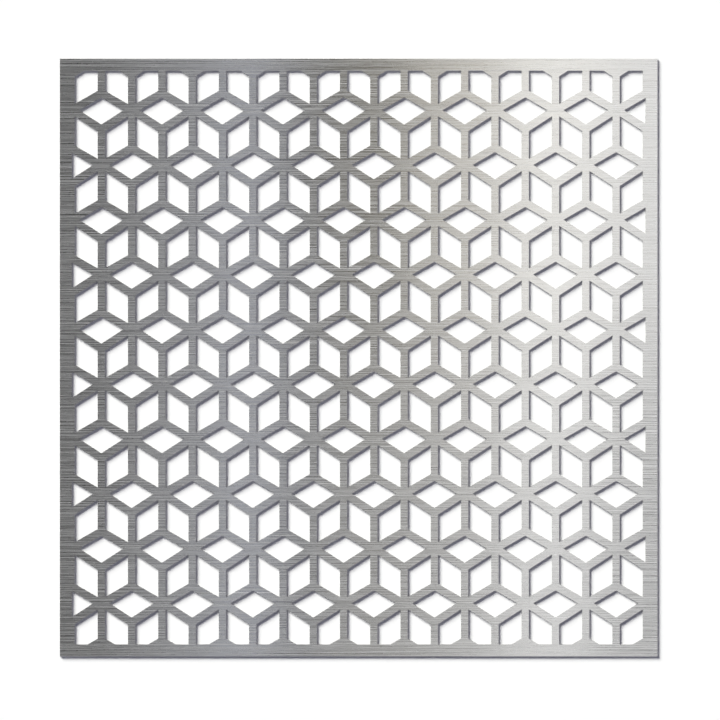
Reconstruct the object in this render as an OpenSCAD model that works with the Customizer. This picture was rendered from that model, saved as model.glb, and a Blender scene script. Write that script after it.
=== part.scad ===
// Decorative perforated metal sheet with a tumbling block pattern.
// One flat sheet lies on the XY plane, face up, with its centre on the Z axis.
// Each block of the pattern is a diamond opening above two slanted openings, so that it reads as a cube.
// Rows of blocks are staggered, and a plain border trims the pattern on all four sides.

/* [Sheet] */
// Width of the sheet, from its left edge to its right edge
sheet_w = 600; // [200:1:1000]
// Length of the sheet, from its lower edge to its upper edge
sheet_l = 600; // [200:1:1000]
// Thickness of the metal
sheet_t = 3; // [0.8:0.1:6]
// Width of the uncut border
border_w = 12; // [4:0.5:60]

/* [Tumbling blocks] */
// Distance between neighbouring blocks of one row
block_pitch = 60.8; // [40:0.1:120]
// Distance from one row of blocks to the next
row_pitch = 55; // [44:0.1:110]
// Height of a block's diamond, from its lower to its upper corner on the bars' centre lines
diamond_h = 36.1; // [20:0.1:50]
// Height above the diamond's middle at which the two bars below it end
lower_bar_rise = 1.55; // [-3:0.05:4]
// Height above the diamond's middle at which the two bars above it end
upper_bar_rise = 0.6; // [-3:0.05:4]

/* [Bars] */
// Width of the slanted bars around the diamonds
slanted_bar_w = 7.6; // [2:0.1:12]
// Width of the upright bars between the slanted openings
upright_bar_w = 7.3; // [2:0.1:12]
// Narrowest remainder of an opening that is still cut where the border trims it
min_opening = 4; // [1:0.5:10]

/* [Hidden] */

// Half a block is the distance between neighbouring upright bars.
half_block = block_pitch / 2;
// Climb of the slanted bars below and above a diamond, per unit of width
lower_slope = (diamond_h / 2 + lower_bar_rise) / half_block;
upper_slope = (diamond_h / 2 - upper_bar_rise) / half_block;
// Half the width of those bars, measured upright
lower_half = slanted_bar_w / 2 * norm([1, lower_slope]);
upper_half = slanted_bar_w / 2 * norm([1, upper_slope]);
// Distances of a slanted opening's upright sides from its block's centre line
inner_side = upright_bar_w / 2;
outer_side = half_block - upright_bar_w / 2;
// The pattern is cut inside this window.
window = [sheet_w / 2 - border_w, sheet_l / 2 - border_w];
// Blocks and rows on each side of the centre that reach past the window
blocks_each_side = ceil(window.x / block_pitch) + 1;
rows_each_side = ceil(window.y / row_pitch) + 1;
steel_colour = [0.68, 0.68, 0.66];

// Middle of one block's diamond: rows lie a quarter block to the left and to the right of the centre in turn.
function block_middle(block, row) =
    [(block + (row % 2 == 0 ? -0.25 : 0.25)) * block_pitch, (row + 0.5) * row_pitch];

// Height of the slanted bars' centre lines above the diamond's middle, at x from the block's centre line
function lower_bar(x) = lower_slope * x - diamond_h / 2;

function upper_bar(x) = diamond_h / 2 - upper_slope * x;

// Outline of the opening between the four slanted bars, about the diamond's middle
function diamond_opening() =
    let (
        bottom = lower_bar(0) + lower_half,
        top = upper_bar(0) - upper_half,
        tip = (top - bottom) / (lower_slope + upper_slope),
        tip_height = bottom + lower_slope * tip
    )
    [[-tip, tip_height], [0, bottom], [tip, tip_height], [0, top]];

// Outline of an opening below the diamond, whose lower edge runs along a bar of the next row's diamond.
// The side is -1 for the left opening and 1 for the right one.
function slanted_opening(side) = [
    [side * outer_side, lower_bar(outer_side) - lower_half],
    [side * inner_side, lower_bar(inner_side) - lower_half],
    [side * inner_side, upper_bar(half_block - inner_side) + upper_half - row_pitch],
    [side * outer_side, upper_bar(half_block - outer_side) + upper_half - row_pitch]
];

function moved(outline, by) = [for (corner = outline) corner + by];

// The part of a convex outline that lies on the inner side of one edge of the window.
// The axis is 0 or 1 for x or y, and the side is 1 or -1 for the edge on its positive or negative end.
function trimmed(outline, axis, side) =
    let (n = len(outline))
    [for (i = [0 : 1 : n - 1])
        let (
            corner = outline[i],
            next = outline[(i + 1) % n],
            room = window[axis] - side * corner[axis],
            next_room = window[axis] - side * next[axis]
        )
        each concat(
            room >= 0 ? [corner] : [],
            room * next_room < 0 ? [corner + (next - corner) * room / (room - next_room)] : []
        )
    ];

function in_window(outline) =
    trimmed(trimmed(trimmed(trimmed(outline, 0, 1), 0, -1), 1, 1), 1, -1);

function span(outline, axis) =
    let (values = [for (corner = outline) corner[axis]])
    max(values) - min(values);

function is_cut(outline) =
    len(outline) > 2 && min(span(outline, 0), span(outline, 1)) >= min_opening;

// Every opening of the sheet, as an outline inside the window
openings = [
    for (row = [-rows_each_side : rows_each_side])
    for (block = [-blocks_each_side : blocks_each_side])
    for (outline = [diamond_opening(), slanted_opening(-1), slanted_opening(1)])
        let (opening = in_window(moved(outline, block_middle(block, row))))
        if (is_cut(opening)) opening
];

module perforated_sheet() {
    color(steel_colour)
        linear_extrude(sheet_t)
            difference() {
                square([sheet_w, sheet_l], center = true);
                for (opening = openings)
                    polygon(opening);
            }
}

perforated_sheet();
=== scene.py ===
"""Looks of a decorative steel sheet with a tumbling block pattern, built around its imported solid."""

import logging
import math
from dataclasses import dataclass, field
from enum import Enum

import bpy
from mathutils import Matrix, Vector


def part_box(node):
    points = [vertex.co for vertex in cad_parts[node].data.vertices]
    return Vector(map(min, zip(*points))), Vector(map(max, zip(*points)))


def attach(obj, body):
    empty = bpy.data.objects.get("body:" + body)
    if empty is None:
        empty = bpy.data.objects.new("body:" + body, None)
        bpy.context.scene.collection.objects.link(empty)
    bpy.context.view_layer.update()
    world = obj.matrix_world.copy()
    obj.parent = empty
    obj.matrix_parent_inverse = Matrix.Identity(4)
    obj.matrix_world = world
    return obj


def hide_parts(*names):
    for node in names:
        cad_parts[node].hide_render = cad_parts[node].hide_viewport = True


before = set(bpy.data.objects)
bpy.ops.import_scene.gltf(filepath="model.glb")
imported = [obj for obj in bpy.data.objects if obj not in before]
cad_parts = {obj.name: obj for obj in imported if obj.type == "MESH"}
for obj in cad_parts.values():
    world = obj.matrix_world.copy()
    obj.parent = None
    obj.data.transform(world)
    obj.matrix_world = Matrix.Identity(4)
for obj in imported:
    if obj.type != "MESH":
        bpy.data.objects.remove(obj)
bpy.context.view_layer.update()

LOG = logging.getLogger("steel_sheet")
# One millimetre, in metres
MM = 0.001
# The UV map that gives the direction of the grain
GRAIN_MAP = "grain"
WHITE = (1.0, 1.0, 1.0, 1.0)
Number = float | int
Colour = tuple[float, float, float]
Extent = tuple[float, float, float]


class Side(Enum):
    """A kind of surface on the sheet. Its value is the index of the material slot."""

    FRONT = 0
    CUT_WALL = 1
    BACK = 2


class Value:
    """A number that varies over a surface, held as a node's output, on which Python's operators work."""

    def __init__(self, graph: "Graph", socket: bpy.types.NodeSocket) -> None:
        """Keeps the graph and the output.

        Args:
            graph: The graph that the output belongs to.
            socket: The output that carries the number.
        """
        self.graph = graph
        self.socket = socket

    def _math(self, operation: str, first: "Value | Number", second: "Value | Number") -> "Value":
        """Adds one Math node.

        Args:
            operation: The Math node's operation.
            first: The first operand.
            second: The second operand.

        Returns:
            The node's result.
        """
        node = self.graph.add("ShaderNodeMath", {"operation": operation}, {0: first, 1: second})
        return Value(self.graph, node.outputs[0])

    def __add__(self, other: "Value | Number") -> "Value":
        """Sum."""
        return self._math("ADD", self, other)

    def __radd__(self, other: "Value | Number") -> "Value":
        """Sum, with the number first."""
        return self._math("ADD", other, self)

    def __sub__(self, other: "Value | Number") -> "Value":
        """Difference."""
        return self._math("SUBTRACT", self, other)

    def __rsub__(self, other: "Value | Number") -> "Value":
        """Difference, with the number first."""
        return self._math("SUBTRACT", other, self)

    def __mul__(self, other: "Value | Number") -> "Value":
        """Product."""
        return self._math("MULTIPLY", self, other)

    def __rmul__(self, other: "Value | Number") -> "Value":
        """Product, with the number first."""
        return self._math("MULTIPLY", other, self)

    def floor(self) -> "Value":
        """Largest whole number that isn't above this one."""
        return self._math("FLOOR", self, 0)


class Graph:
    """The nodes of one material or world."""

    # Average of a noise before it is centred on 0
    NOISE_MIDDLE = 0.5
    # Strength of each finer layer of a noise, as a share of the layer before
    NOISE_ROUGHNESS = 0.55
    # How many finer layers the tone of a hairline has
    LINE_DETAIL = 3.0
    # Step in the noise from one row of hairlines to the next, long enough for the two to differ
    ROW_STEP = 3.71
    # Share of the next row's tone that is taken off a row
    NEIGHBOUR_SHARE = 0.6
    # How far a shift moves a pattern along X, Y and Z
    SHIFT_SPREAD = (1.0, 1.7, 0.6)

    def __init__(self, tree: bpy.types.NodeTree) -> None:
        """Empties the tree.

        Args:
            tree: The node tree to build in.
        """
        self.tree = tree
        self.tree.nodes.clear()

    def add(self, kind: str, settings: dict | None = None, inputs: dict | None = None) -> bpy.types.Node:
        """Adds a node, sets it, then fills or links its inputs.

        Args:
            kind: The node's type.
            settings: The node's properties, by name.
            inputs: Values, or links from outputs, by the input's name or index.

        Returns:
            The new node.
        """
        node = self.tree.nodes.new(kind)
        for name, value in (settings or {}).items():
            setattr(node, name, value)
        for key, value in (inputs or {}).items():
            source = value.socket if isinstance(value, Value) else value
            if isinstance(source, bpy.types.NodeSocket):
                self.tree.links.new(source, node.inputs[key])
            else:
                node.inputs[key].default_value = source
        return node

    def output(self, kind: str, settings: dict | None = None, inputs: dict | None = None,
               name: str | int = 0) -> Value:
        """Adds a node and takes one of its outputs as a number.

        Args:
            kind: The node's type.
            settings: The node's properties, by name.
            inputs: Values, or links from outputs, by the input's name or index.
            name: The output's name or index.

        Returns:
            That output.
        """
        return Value(self, self.add(kind, settings, inputs).outputs[name])

    def place(self) -> bpy.types.NodeSocket:
        """Gives the place on the piece, in metres."""
        return self.add("ShaderNodeTexCoord").outputs["Object"]

    def noise(self, spot: bpy.types.NodeSocket, detail: Number) -> Value:
        """Gives a noise whose grains have a size of about 1.

        Args:
            spot: The place in the noise.
            detail: How many finer layers the noise has.

        Returns:
            A number about 0 on average.
        """
        tone = self.output("ShaderNodeTexNoise", {}, {
            "Vector": spot, "Scale": 1.0, "Detail": detail, "Roughness": self.NOISE_ROUGHNESS})
        return tone - self.NOISE_MIDDLE

    def streaks(self, size: Extent, shift: Number, detail: Number = 2.0) -> Value:
        """Gives a noise whose grains have a set size along X, Y and Z.

        Args:
            size: The grains' length along each axis, in metres.
            shift: A shift of the pattern, which sets layers apart.
            detail: How many finer layers the noise has.

        Returns:
            A number about 0 on average.
        """
        mapping = self.add("ShaderNodeMapping", {}, {
            "Vector": self.place(),
            "Location": tuple(shift * spread for spread in self.SHIFT_SPREAD),
            "Scale": tuple(1 / length for length in size),
        })
        return self.noise(mapping.outputs[0], detail)

    def line_tone(self, along: Value, row: Value, shift: Number) -> Value:
        """Gives the tone of one row of hairlines.

        Args:
            along: The place along the row, in line lengths.
            row: The row's number.
            shift: A shift of the pattern, which sets layers apart.

        Returns:
            A number about 0 on average.
        """
        spot = self.add("ShaderNodeCombineXYZ", {}, {
            "X": along, "Y": row * self.ROW_STEP + shift, "Z": shift})
        return self.noise(spot.outputs[0], self.LINE_DETAIL)

    def hairlines(self, length: Number, width: Number, shift: Number) -> Value:
        """Gives straight lines along X that lie in rows, each with a tone that changes slowly along it.

        A part of the next row's tone is taken off, so that neighbouring lines differ and the grain is crisp.

        Args:
            length: The length over which a line's tone changes, in metres.
            width: The rows' width, in metres.
            shift: A shift of the pattern, which sets layers apart.

        Returns:
            A number about 0 on average.
        """
        parts = self.add("ShaderNodeSeparateXYZ", {}, {0: self.place()})
        along = Value(self, parts.outputs["X"]) * (1 / length)
        row = (Value(self, parts.outputs["Y"]) * (1 / width)).floor()
        line = self.line_tone(along, row, shift)
        return line - self.NEIGHBOUR_SHARE * self.line_tone(along, row + 1, shift)

    def between(self, value: Value, low: Number, high: Number) -> Value:
        """Maps a number to 0 below a low bound and 1 above a high one, smoothly.

        Args:
            value: The number to map.
            low: Where the result leaves 0.
            high: Where the result reaches 1.

        Returns:
            A number from 0 to 1.
        """
        return self.output("ShaderNodeMapRange", {"interpolation_type": "SMOOTHSTEP"}, {
            "Value": value, "From Min": low, "From Max": high})

    def shade(self, colour: Colour, factor: Value) -> bpy.types.NodeSocket:
        """Multiplies a colour by a number.

        Args:
            colour: The colour.
            factor: The number.

        Returns:
            The shaded colour.
        """
        node = self.add("ShaderNodeVectorMath", {"operation": "SCALE"}, {0: colour, "Scale": factor})
        return node.outputs[0]


@dataclass(frozen=True)
class Finish:
    """The material of one kind of surface. Each finish adds nodes of its own."""

    name: str

    def surface(self, graph: Graph) -> bpy.types.Node:
        """Adds the nodes of the surface.

        Args:
            graph: The material's graph.

        Returns:
            The shader.
        """
        raise NotImplementedError

    def build(self) -> bpy.types.Material:
        """Makes the material.

        Returns:
            The material.
        """
        material = bpy.data.materials.new(self.name)
        material.use_nodes = True
        graph = Graph(material.node_tree)
        shader = self.surface(graph)
        graph.add("ShaderNodeOutputMaterial", {}, {"Surface": shader.outputs[0]})
        return material


@dataclass(frozen=True)
class BrushedFinish(Finish):
    """Front face: steel brushed along X with a long hairline grain.

    A line is given by its length and width, a cloud by its size along X, Y and Z. The tones say how much each
    changes the colour, and the skew makes the brightest lines stand out.
    """

    name: str = "brushed_front"
    colour: Colour = (0.64, 0.64, 0.635)
    roughness: float = 0.34
    anisotropy: float = 0.8
    # A quarter turn, which spreads reflections across the grain
    anisotropy_turn: float = 0.25
    long_line: tuple[float, float] = (180 * MM, 0.6 * MM)
    short_line: tuple[float, float] = (20 * MM, 0.5 * MM)
    cloud: Extent = (260 * MM, 28 * MM, 40 * MM)
    long_shift: float = 2.3
    short_shift: float = 4.3
    cloud_shift: float = 23.9
    cloud_detail: float = 1.0
    long_tone: float = 1.2
    short_tone: float = 0.6
    cloud_tone: float = 0.08
    long_roughness: float = 1.15
    short_roughness: float = 0.35
    line_skew: float = 1.5
    groove_depth: float = 0.04 * MM

    def surface(self, graph: Graph) -> bpy.types.Node:
        """Adds the grain, its grooves and the steel.

        Args:
            graph: The material's graph.

        Returns:
            The shader.
        """
        long_line = graph.hairlines(*self.long_line, self.long_shift)
        long_line = long_line + self.line_skew * long_line * long_line
        short_line = graph.hairlines(*self.short_line, self.short_shift)
        cloud = graph.streaks(self.cloud, self.cloud_shift, self.cloud_detail)
        tone = 1 + self.long_tone * long_line + self.short_tone * short_line + self.cloud_tone * cloud
        rough = self.roughness + self.long_roughness * long_line + self.short_roughness * short_line
        bump = graph.add("ShaderNodeBump", {}, {
            "Strength": 1.0, "Distance": self.groove_depth, "Height": long_line + short_line})
        tangent = graph.add("ShaderNodeTangent", {"direction_type": "UV_MAP", "uv_map": GRAIN_MAP})
        return graph.add("ShaderNodeBsdfPrincipled", {}, {
            "Base Color": graph.shade(self.colour, tone),
            "Metallic": 1.0,
            "Roughness": rough,
            "Anisotropic": self.anisotropy,
            "Anisotropic Rotation": self.anisotropy_turn,
            "Normal": bump.outputs[0],
            "Tangent": tangent.outputs[0],
        })


@dataclass(frozen=True)
class CutFinish(Finish):
    """Walls of the openings and of the outer edge: dull steel with upright cutting marks."""

    name: str = "laser_cut_wall"
    colour: Colour = (0.4, 0.4, 0.4)
    roughness: float = 0.48
    mark: Extent = (0.28 * MM, 0.28 * MM, 4 * MM)
    mark_shift: float = 5.3
    mark_tone: float = 0.5
    mark_roughness: float = 0.2
    mark_depth: float = 0.03 * MM

    def surface(self, graph: Graph) -> bpy.types.Node:
        """Adds the cutting marks and the steel.

        Args:
            graph: The material's graph.

        Returns:
            The shader.
        """
        mark = graph.streaks(self.mark, self.mark_shift)
        bump = graph.add("ShaderNodeBump", {}, {"Strength": 1.0, "Distance": self.mark_depth, "Height": mark})
        return graph.add("ShaderNodeBsdfPrincipled", {}, {
            "Base Color": graph.shade(self.colour, 1 + self.mark_tone * mark),
            "Metallic": 1.0,
            "Roughness": self.roughness + self.mark_roughness * mark,
            "Normal": bump.outputs[0],
        })


@dataclass(frozen=True)
class MillFinish(Finish):
    """Back face: plain rolled steel, matt and faintly cloudy."""

    name: str = "mill_back"
    colour: Colour = (0.64, 0.64, 0.63)
    roughness: float = 0.42
    pore: Extent = (1.2 * MM, 0.8 * MM, 1.2 * MM)
    cloud: Extent = (90 * MM, 40 * MM, 40 * MM)
    pore_shift: float = 7.7
    cloud_shift: float = 17.1
    pore_tone: float = 0.18
    cloud_tone: float = 0.2
    blotch_roughness: float = 0.12

    def surface(self, graph: Graph) -> bpy.types.Node:
        """Adds the pores, the clouds and the steel.

        Args:
            graph: The material's graph.

        Returns:
            The shader.
        """
        pore = graph.streaks(self.pore, self.pore_shift)
        cloud = graph.streaks(self.cloud, self.cloud_shift)
        return graph.add("ShaderNodeBsdfPrincipled", {}, {
            "Base Color": graph.shade(self.colour, 1 + self.pore_tone * pore + self.cloud_tone * cloud),
            "Metallic": 1.0,
            "Roughness": self.roughness + self.blotch_roughness * (pore + cloud),
        })


@dataclass(frozen=True)
class PaperFinish(Finish):
    """Floor: plain white paper."""

    name: str = "white_paper"
    colour: Colour = (0.93, 0.93, 0.93)

    def surface(self, graph: Graph) -> bpy.types.Node:
        """Adds the paper."""
        return graph.add("ShaderNodeBsdfDiffuse", {}, {"Color": (*self.colour, 1.0)})


@dataclass
class SteelSheet:
    """The perforated sheet itself, as its solid with broken edges and three finishes."""

    node: str = "perforated_sheet"
    name: str = "steel_sheet"
    slot: str = "brushed_sheet"
    edge_break: float = 0.06 * MM
    merge_distance: float = 0.002 * MM
    flat_angle: float = math.radians(1)
    # Least height of a level face's normal
    level_normal: float = 0.99
    uv_scale: float = 1.0
    front: BrushedFinish = field(default_factory=BrushedFinish)
    wall: CutFinish = field(default_factory=CutFinish)
    back: MillFinish = field(default_factory=MillFinish)

    def side_of(self, normal: Vector) -> Side:
        """Tells which side of the sheet a face belongs to.

        Args:
            normal: The face's normal.

        Returns:
            The side.
        """
        if normal.z > self.level_normal:
            return Side.FRONT
        if normal.z < -self.level_normal:
            return Side.BACK
        return Side.CUT_WALL

    def select_faces(self, piece: bpy.types.Object, sides: set[Side]) -> None:
        """Selects all faces of some sides, and leaves edit mode on.

        Args:
            piece: The sheet, in edit mode.
            sides: The sides to select.
        """
        bpy.ops.mesh.select_mode(type="FACE")
        bpy.ops.mesh.select_all(action="DESELECT")
        bpy.ops.object.mode_set(mode="OBJECT")
        for face in piece.data.polygons:
            face.select = self.side_of(face.normal) in sides
        bpy.ops.object.mode_set(mode="EDIT")

    def select_rims(self, piece: bpy.types.Object) -> None:
        """Selects the edges where the front or back face meets a wall, and leaves edit mode on.

        Args:
            piece: The sheet, in edit mode.
        """
        bpy.ops.mesh.select_mode(type="EDGE")
        bpy.ops.mesh.select_all(action="DESELECT")
        bpy.ops.object.mode_set(mode="OBJECT")
        sides: dict[tuple[int, int], set[Side]] = {}
        for face in piece.data.polygons:
            for key in face.edge_keys:
                sides.setdefault(key, set()).add(self.side_of(face.normal))
        for edge in piece.data.edges:
            edge.select = len(sides[edge.key]) > 1
        bpy.ops.object.mode_set(mode="EDIT")

    def build(self) -> bpy.types.Object:
        """Copies the solid's mesh, joins its triangles and breaks its edges.

        Returns:
            The finished piece.
        """
        bpy.ops.object.select_all(action="DESELECT")
        piece = bpy.data.objects.new(self.name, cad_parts[self.node].data.copy())
        bpy.context.scene.collection.objects.link(piece)
        piece.select_set(True)
        bpy.context.view_layer.objects.active = piece
        bpy.ops.object.mode_set(mode="EDIT")
        bpy.ops.mesh.select_all(action="SELECT")
        bpy.ops.mesh.remove_doubles(threshold=self.merge_distance)
        self.select_faces(piece, {Side.CUT_WALL})
        bpy.ops.mesh.dissolve_limited(angle_limit=self.flat_angle)
        self.select_faces(piece, {Side.FRONT, Side.BACK})
        bpy.ops.mesh.beautify_fill(angle_limit=math.pi)
        bpy.ops.mesh.tris_convert_to_quads()
        self.select_rims(piece)
        bpy.ops.mesh.bevel(offset=self.edge_break, offset_type="OFFSET", segments=1, affect="EDGES")
        bpy.ops.mesh.select_all(action="SELECT")
        bpy.ops.uv.cube_project(cube_size=self.uv_scale, scale_to_bounds=False)
        bpy.ops.object.mode_set(mode="OBJECT")
        bpy.ops.object.shade_flat()
        piece.data.uv_layers.active.name = GRAIN_MAP
        return piece

    def dress(self, piece: bpy.types.Object) -> None:
        """Gives each side its finish.

        Args:
            piece: The built sheet.
        """
        finishes = {Side.FRONT: self.front, Side.CUT_WALL: self.wall, Side.BACK: self.back}
        piece.data.materials.clear()
        for side in Side:
            piece.data.materials.append(finishes[side].build())
        for face in piece.data.polygons:
            face.material_index = self.side_of(face.normal).value

    def mount(self, piece: bpy.types.Object) -> None:
        """Puts the piece on its body in place of the solid.

        Args:
            piece: The dressed sheet.
        """
        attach(piece, "root")
        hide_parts(self.node)


@dataclass(frozen=True)
class LightColumn:
    """Two softboxes that hang in line over one strip of the sheet, and show in the steel alone.

    The far one hangs over the upper half of the sheet, the near one over the lower half. Places and sizes
    are in metres.
    """

    name: str
    across: float
    width: float
    far_radiance: float
    near_radiance: float
    far_colour: Colour
    near_colour: Colour
    length: float = 0.6
    height: float = 0.45

    def add_softbox(self, name: str, along: float, radiance: float, colour: Colour) -> None:
        """Adds one softbox, which faces down.

        Args:
            name: The softbox's name.
            along: The place of its middle along Y.
            radiance: How bright it looks.
            colour: The colour of its light.
        """
        bpy.ops.object.light_add(type="AREA", location=(self.across, along, self.height))
        lamp = bpy.context.active_object
        lamp.name = name
        lamp.data.shape = "RECTANGLE"
        lamp.data.size = self.width
        lamp.data.size_y = self.length
        lamp.data.energy = radiance * math.pi * self.width * self.length
        lamp.data.color = colour
        lamp.visible_camera = False
        lamp.visible_diffuse = False

    def build(self) -> None:
        """Adds the far and the near softbox."""
        self.add_softbox(self.name + "_far", self.length / 2, self.far_radiance, self.far_colour)
        self.add_softbox(self.name + "_near", -self.length / 2, self.near_radiance, self.near_colour)


@dataclass
class Studio:
    """White floor, key light, softboxes and surroundings.

    The steel mirrors the surroundings as a dim zenith, a bright ring round it and a duller horizon. The ring
    fades between heights on a dome of radius 1.
    """

    floor_size: float = 40.0
    floor_drop: float = 0.05 * MM
    paper: PaperFinish = field(default_factory=PaperFinish)
    shadow_reach: tuple[float, float] = (2.65 * MM, -3.2 * MM)
    key_strength: float = 5.22
    key_spread: float = math.radians(35)
    key_colour: Colour = (1.0, 1.0, 0.945)
    ambient_colour: Colour = (0.118, 0.118, 0.168)
    zenith_glow: float = 0.095
    ring_glow: float = 1.2
    horizon_glow: float = 0.42
    ring_top: tuple[float, float] = (0.55, 0.88)
    ring_bottom: tuple[float, float] = (0.2, 0.55)
    columns: tuple[LightColumn, ...] = (
        LightColumn("far_left_light", -0.31, 0.12, 0.03, 0.04, (1.0, 0.97, 0.94), (1.0, 0.97, 0.94)),
        LightColumn("left_light", -0.2, 0.1, 0.2, 0.25, (0.98, 0.985, 1.04), (0.98, 0.985, 1.04)),
        LightColumn("cool_light", -0.14, 0.1, 0.52, 0.55, (0.94, 0.98, 1.15), (0.94, 0.98, 1.14)),
        LightColumn("middle_light", 0.0, 0.1, 0.11, 0.34, (1.0, 0.88, 0.6), (1.0, 0.98, 0.95)),
        LightColumn("warm_light", 0.1, 0.1, 0.69, 0.45, (1.0, 0.94, 0.83), (1.0, 0.99, 0.985)),
        LightColumn("main_light", 0.2, 0.1, 1.35, 1.07, (1.0, 0.98, 0.935), (1.0, 0.995, 0.995)),
        LightColumn("right_light", 0.3, 0.1, 1.03, 0.43, (1.0, 0.99, 0.965), (1.0, 1.0, 1.0)),
        LightColumn("far_right_light", 0.45, 0.2, 1.18, 0.62, (1.0, 1.0, 1.05), (1.0, 1.0, 1.06)),
    )

    def build_floor(self, bottom: float) -> None:
        """Lays the floor under the sheet.

        Args:
            bottom: The height of the sheet's lower face.
        """
        bpy.ops.object.select_all(action="DESELECT")
        bpy.ops.mesh.primitive_plane_add(size=self.floor_size, location=(0, 0, bottom - self.floor_drop))
        floor = bpy.context.active_object
        floor.name = "white_floor"
        floor.data.materials.append(self.paper.build())

    def build_key(self, height: float) -> None:
        """Adds the key light, which throws the sheet's shadow as far as the shadow reach says.

        Args:
            height: The sheet's thickness.
        """
        travel = Vector((self.shadow_reach[0], self.shadow_reach[1], -height))
        bpy.ops.object.light_add(type="SUN", rotation=travel.to_track_quat("-Z", "Y").to_euler())
        key = bpy.context.active_object
        key.name = "key_light"
        key.data.energy = self.key_strength
        key.data.angle = self.key_spread
        key.data.color = self.key_colour
        key.visible_glossy = False

    def build_surroundings(self) -> None:
        """Makes the surroundings: white for the camera, a gradient in the steel, a low fill elsewhere."""
        world = bpy.data.worlds.new("studio")
        world.use_nodes = True
        bpy.context.scene.world = world
        graph = Graph(world.node_tree)
        path = graph.add("ShaderNodeLightPath")
        seen = Value(graph, path.outputs["Is Camera Ray"])
        mirrored = Value(graph, path.outputs["Is Glossy Ray"])
        direction = graph.add("ShaderNodeTexCoord").outputs["Generated"]
        parts = graph.add("ShaderNodeSeparateXYZ", {}, {0: direction})
        up = Value(graph, parts.outputs["Z"])
        ring = 1 - graph.between(up, *self.ring_top)
        low = 1 - graph.between(up, *self.ring_bottom)
        glow = (self.zenith_glow + (self.ring_glow - self.zenith_glow) * ring
                + (self.horizon_glow - self.ring_glow) * low)
        fill = graph.add("ShaderNodeBackground", {}, {"Color": (*self.ambient_colour, 1.0)})
        sheen = graph.add("ShaderNodeBackground", {}, {"Color": WHITE, "Strength": glow})
        white = graph.add("ShaderNodeBackground", {}, {"Color": WHITE})
        lit = graph.add("ShaderNodeMixShader", {}, {0: mirrored, 1: fill.outputs[0], 2: sheen.outputs[0]})
        shown = graph.add("ShaderNodeMixShader", {}, {0: seen, 1: lit.outputs[0], 2: white.outputs[0]})
        graph.add("ShaderNodeOutputWorld", {}, {"Surface": shown.outputs[0]})

    def build(self, bottom: float, height: float) -> None:
        """Builds the whole studio.

        Args:
            bottom: The height of the sheet's lower face.
            height: The sheet's thickness.
        """
        self.build_floor(bottom)
        self.build_key(height)
        for column in self.columns:
            column.build()
            LOG.info("softboxes %s", column.name)
        self.build_surroundings()
        bpy.context.scene.view_settings.view_transform = "Standard"


@dataclass
class OverheadCamera:
    """A camera with a long lens that looks straight down on the sheet."""

    lens_mm: float = 400.0
    sensor_mm: float = 36.0
    view_width: float = 722.77 * MM
    centre: tuple[float, float] = (1.3 * MM, -2.45 * MM)
    clip_end: float = 100.0

    def build(self, top: float) -> None:
        """Adds the camera.

        Args:
            top: The height of the sheet's front face.
        """
        distance = self.view_width * self.lens_mm / self.sensor_mm
        bpy.ops.object.camera_add(location=(*self.centre, top + distance), rotation=(0, 0, 0))
        camera = bpy.context.active_object
        camera.name = "overhead_camera"
        camera.data.lens = self.lens_mm
        camera.data.sensor_width = self.sensor_mm
        camera.data.clip_end = self.clip_end
        bpy.context.scene.camera = camera


def main() -> None:
    """Builds the sheet, the studio and the camera in order."""
    logging.basicConfig(level=logging.INFO, format="%(name)s: %(message)s")
    low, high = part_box("perforated_sheet")
    OverheadCamera().build(high.z)
    sheet = SteelSheet()
    piece = sheet.build()
    sheet.dress(piece)
    sheet.mount(piece)
    LOG.info("piece %s: %d faces", piece.name, len(piece.data.polygons))
    Studio().build(low.z, high.z - low.z)


if __name__ == "__main__":
    main()
